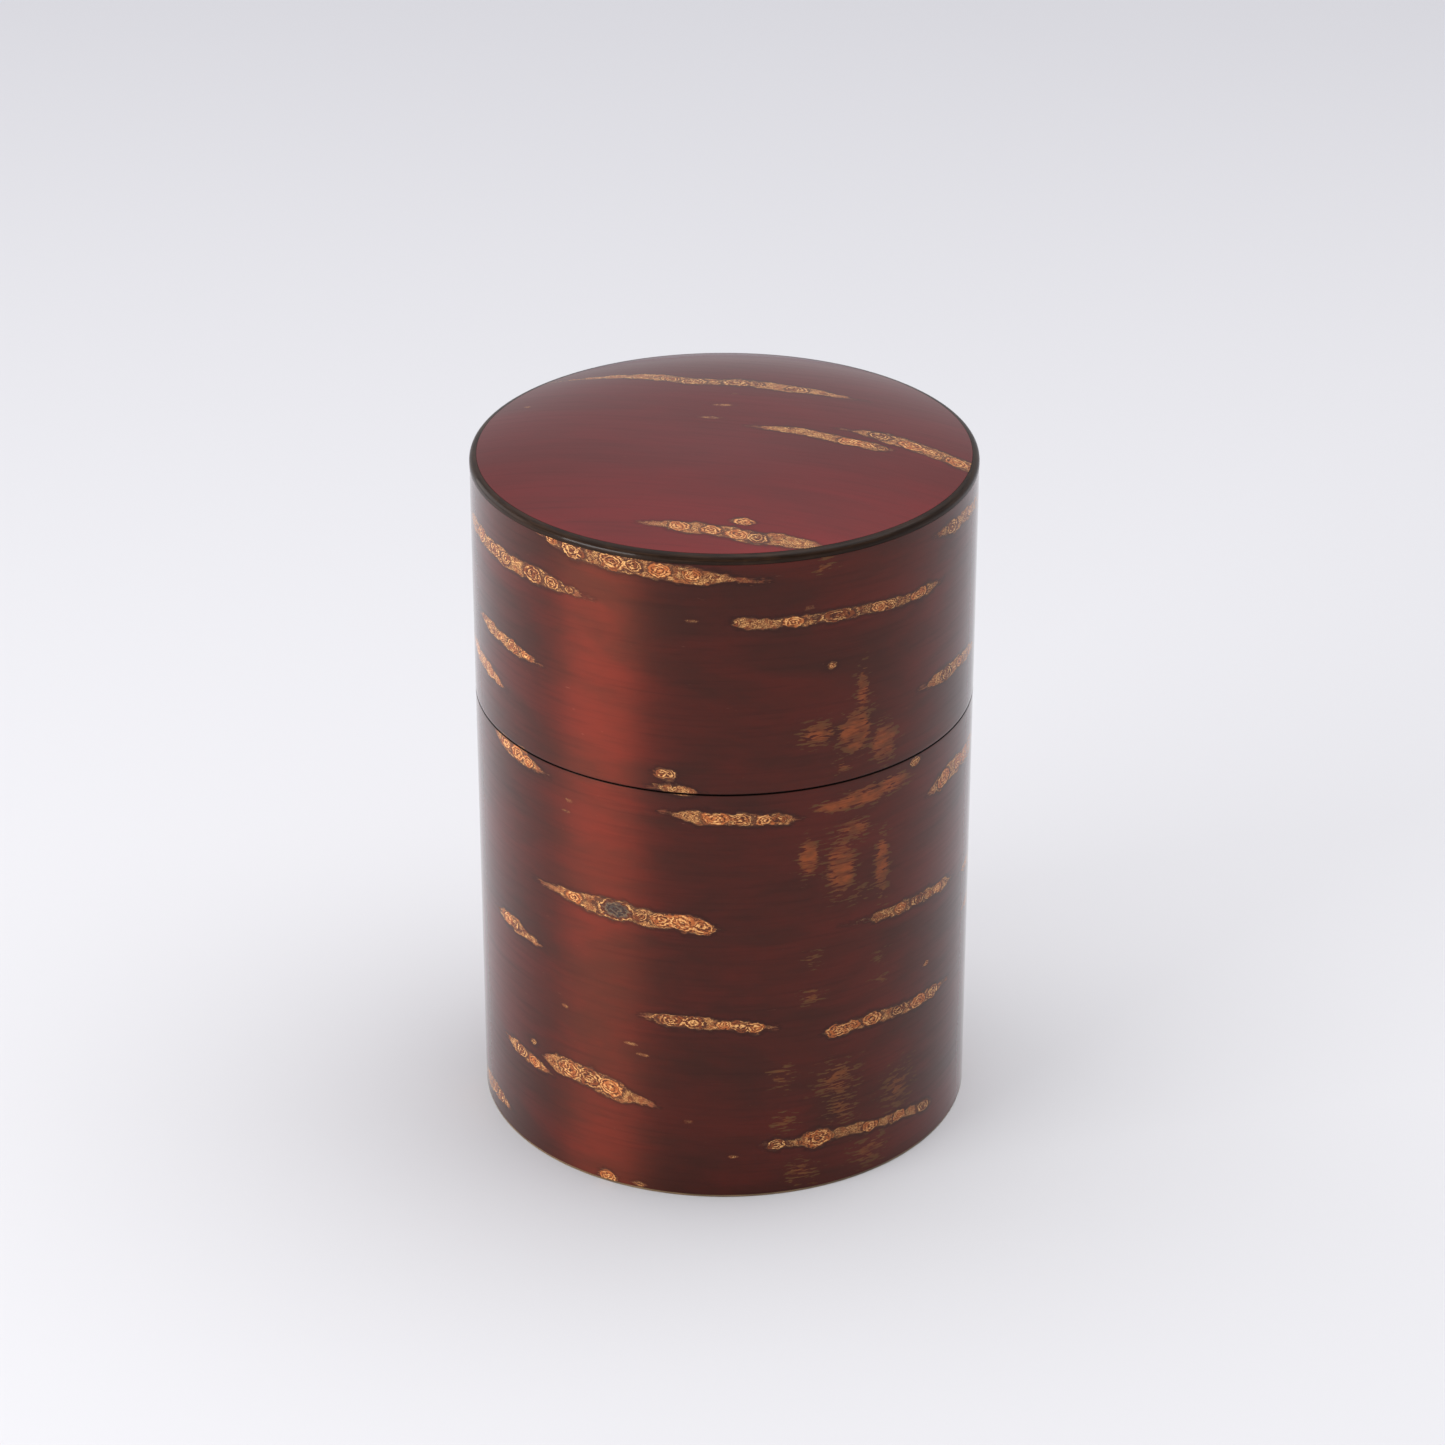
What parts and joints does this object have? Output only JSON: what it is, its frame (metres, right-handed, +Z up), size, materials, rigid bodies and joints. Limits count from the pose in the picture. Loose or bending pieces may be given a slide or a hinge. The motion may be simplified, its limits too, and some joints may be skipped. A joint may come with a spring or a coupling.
{
  "type": "tea caddy",
  "caption": "Round bark-faced wooden tea caddy with a lift-off outer lid over a neck and a knobbed inner lid that plugs the chamber.",
  "frame": {"origin": "centre of the foot ring, on the surface the caddy stands on", "axes": "+Z up along the axis of the round caddy, towards the crown of the lid; the caddy is round, so +X and +Y are any two directions across it"},
  "size_m": [0.082, 0.082, 0.1196],
  "materials": {
    "polished_bark": "polished cherry bark, dark red-brown with tan lenticels",
    "satin_bark": "cherry bark with a satin surface",
    "edge_bark": "dark bark strip, rounded and polished",
    "veneer": "wound wood veneer, unfinished and covered",
    "board_wood": "solid pale wood, unfinished and covered",
    "layered_bark": "stacked cherry bark, carved and polished"
  },
  "bodies": {
    "canister": {"body_bark": "polished_bark", "body_core": "veneer", "body_lining": "satin_bark", "shoulder_strip": "edge_bark", "foot_strip": "edge_bark", "base_underside_bark": "satin_bark", "base_board": "board_wood", "neck_bark": "polished_bark", "neck_core": "veneer", "neck_lining": "satin_bark", "neck_rim_strip": "edge_bark", "chamber_floor_bark": "satin_bark"},
    "outer_lid": {"lid_bark": "polished_bark", "lid_core": "veneer", "lid_lining": "satin_bark", "lid_mouth_strip": "edge_bark", "lid_board": "board_wood", "lid_top_bark": "polished_bark", "lid_rim_strip": "edge_bark", "lid_ceiling_bark": "satin_bark"},
    "inner_lid": {"plug_bark_band": "satin_bark", "plug_underside_bark": "satin_bark", "plug_board": "board_wood", "flange_board": "board_wood", "flange_edge_strip": "edge_bark", "flange_top_bark": "polished_bark", "inner_lid_knob": "layered_bark"}
  },
  "joints": [
    {"name": "lid_lift", "type": "slide", "parent": "canister", "child": "outer_lid", "axis": [0, 0, 1], "range_m": [0, 0.12]},
    {"name": "inner_lid_lift", "type": "slide", "parent": "canister", "child": "inner_lid", "axis": [0, 0, 1], "range_m": [0, 0.06]}
  ],
  "couplings": [
    {"joint": "inner_lid_lift", "follows": "lid_lift", "ratio": 0.5}
  ]
}
